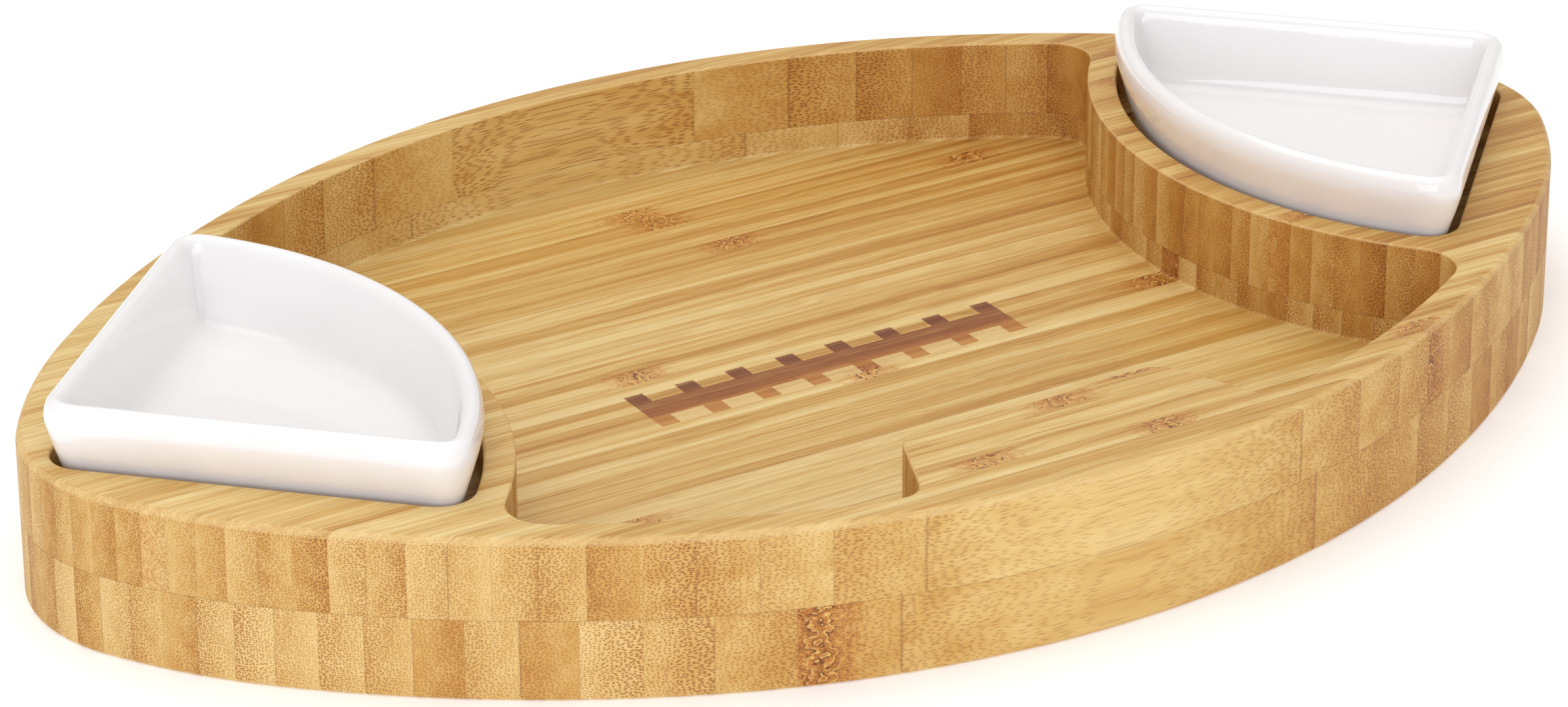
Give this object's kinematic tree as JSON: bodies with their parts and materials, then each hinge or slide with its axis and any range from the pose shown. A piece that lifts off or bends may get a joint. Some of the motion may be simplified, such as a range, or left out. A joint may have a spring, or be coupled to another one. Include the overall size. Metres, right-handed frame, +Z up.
{
  "type": "chip and dip server",
  "caption": "Football-shaped laminated bamboo serving board with a deep chip well and a loose white glazed dip dish in a pocket at each pointed end.",
  "frame": {"origin": "centre of the flat underside of the board", "axes": "+X along the length towards the right-hand tip, +Y towards the back rim, away from the tab, +Z up"},
  "size_m": [0.396, 0.2482, 0.052],
  "materials": {
    "upper_bamboo": "sanded and oiled, satin",
    "lower_bamboo": "sanded and oiled, satin",
    "glaze": "glossy white glaze"
  },
  "bodies": {
    "board": {"upper_back_rail": "upper_bamboo", "upper_front_rail": "upper_bamboo", "upper_left_strips_01": "upper_bamboo", "upper_left_strips_02": "upper_bamboo", "upper_left_strips_03": "upper_bamboo", "upper_left_strips_04": "upper_bamboo", "upper_left_strips_05": "upper_bamboo", "upper_left_strips_06": "upper_bamboo", "upper_left_strips_07": "upper_bamboo", "upper_left_strips_08": "upper_bamboo", "upper_left_strips_09": "upper_bamboo", "upper_left_strips_10": "upper_bamboo", "upper_left_strips_11": "upper_bamboo", "upper_right_strips_01": "upper_bamboo", "upper_right_strips_02": "upper_bamboo", "upper_right_strips_03": "upper_bamboo", "upper_right_strips_04": "upper_bamboo", "upper_right_strips_05": "upper_bamboo", "upper_right_strips_06": "upper_bamboo", "upper_right_strips_07": "upper_bamboo", "upper_right_strips_08": "upper_bamboo", "upper_right_strips_09": "upper_bamboo", "upper_right_strips_10": "upper_bamboo", "upper_right_strips_11": "upper_bamboo", "tab_nose_strips": "upper_bamboo", "tab_neck_strips": "upper_bamboo", "lower_strips_01": "lower_bamboo", "lower_strips_02": "lower_bamboo", "lower_strips_03": "lower_bamboo", "lower_strips_04": "lower_bamboo", "lower_strips_05": "lower_bamboo", "lower_strips_06": "lower_bamboo", "lower_strips_07": "lower_bamboo", "lower_strips_08": "lower_bamboo", "lower_strips_09": "lower_bamboo", "lower_strips_10": "lower_bamboo", "lower_strips_11": "lower_bamboo", "lower_strips_12": "lower_bamboo", "lower_strips_13": "lower_bamboo"},
    "left_dish": {"dip_dish_left": "glaze"},
    "right_dish": {"dip_dish_right": "glaze"}
  },
  "joints": [
    {"name": "left_dish_lift", "type": "slide", "parent": "board", "child": "left_dish", "axis": [0, 0, 1], "range_m": [0, 0.04]},
    {"name": "right_dish_lift", "type": "slide", "parent": "board", "child": "right_dish", "axis": [0, 0, 1], "range_m": [0, 0.04]}
  ]
}
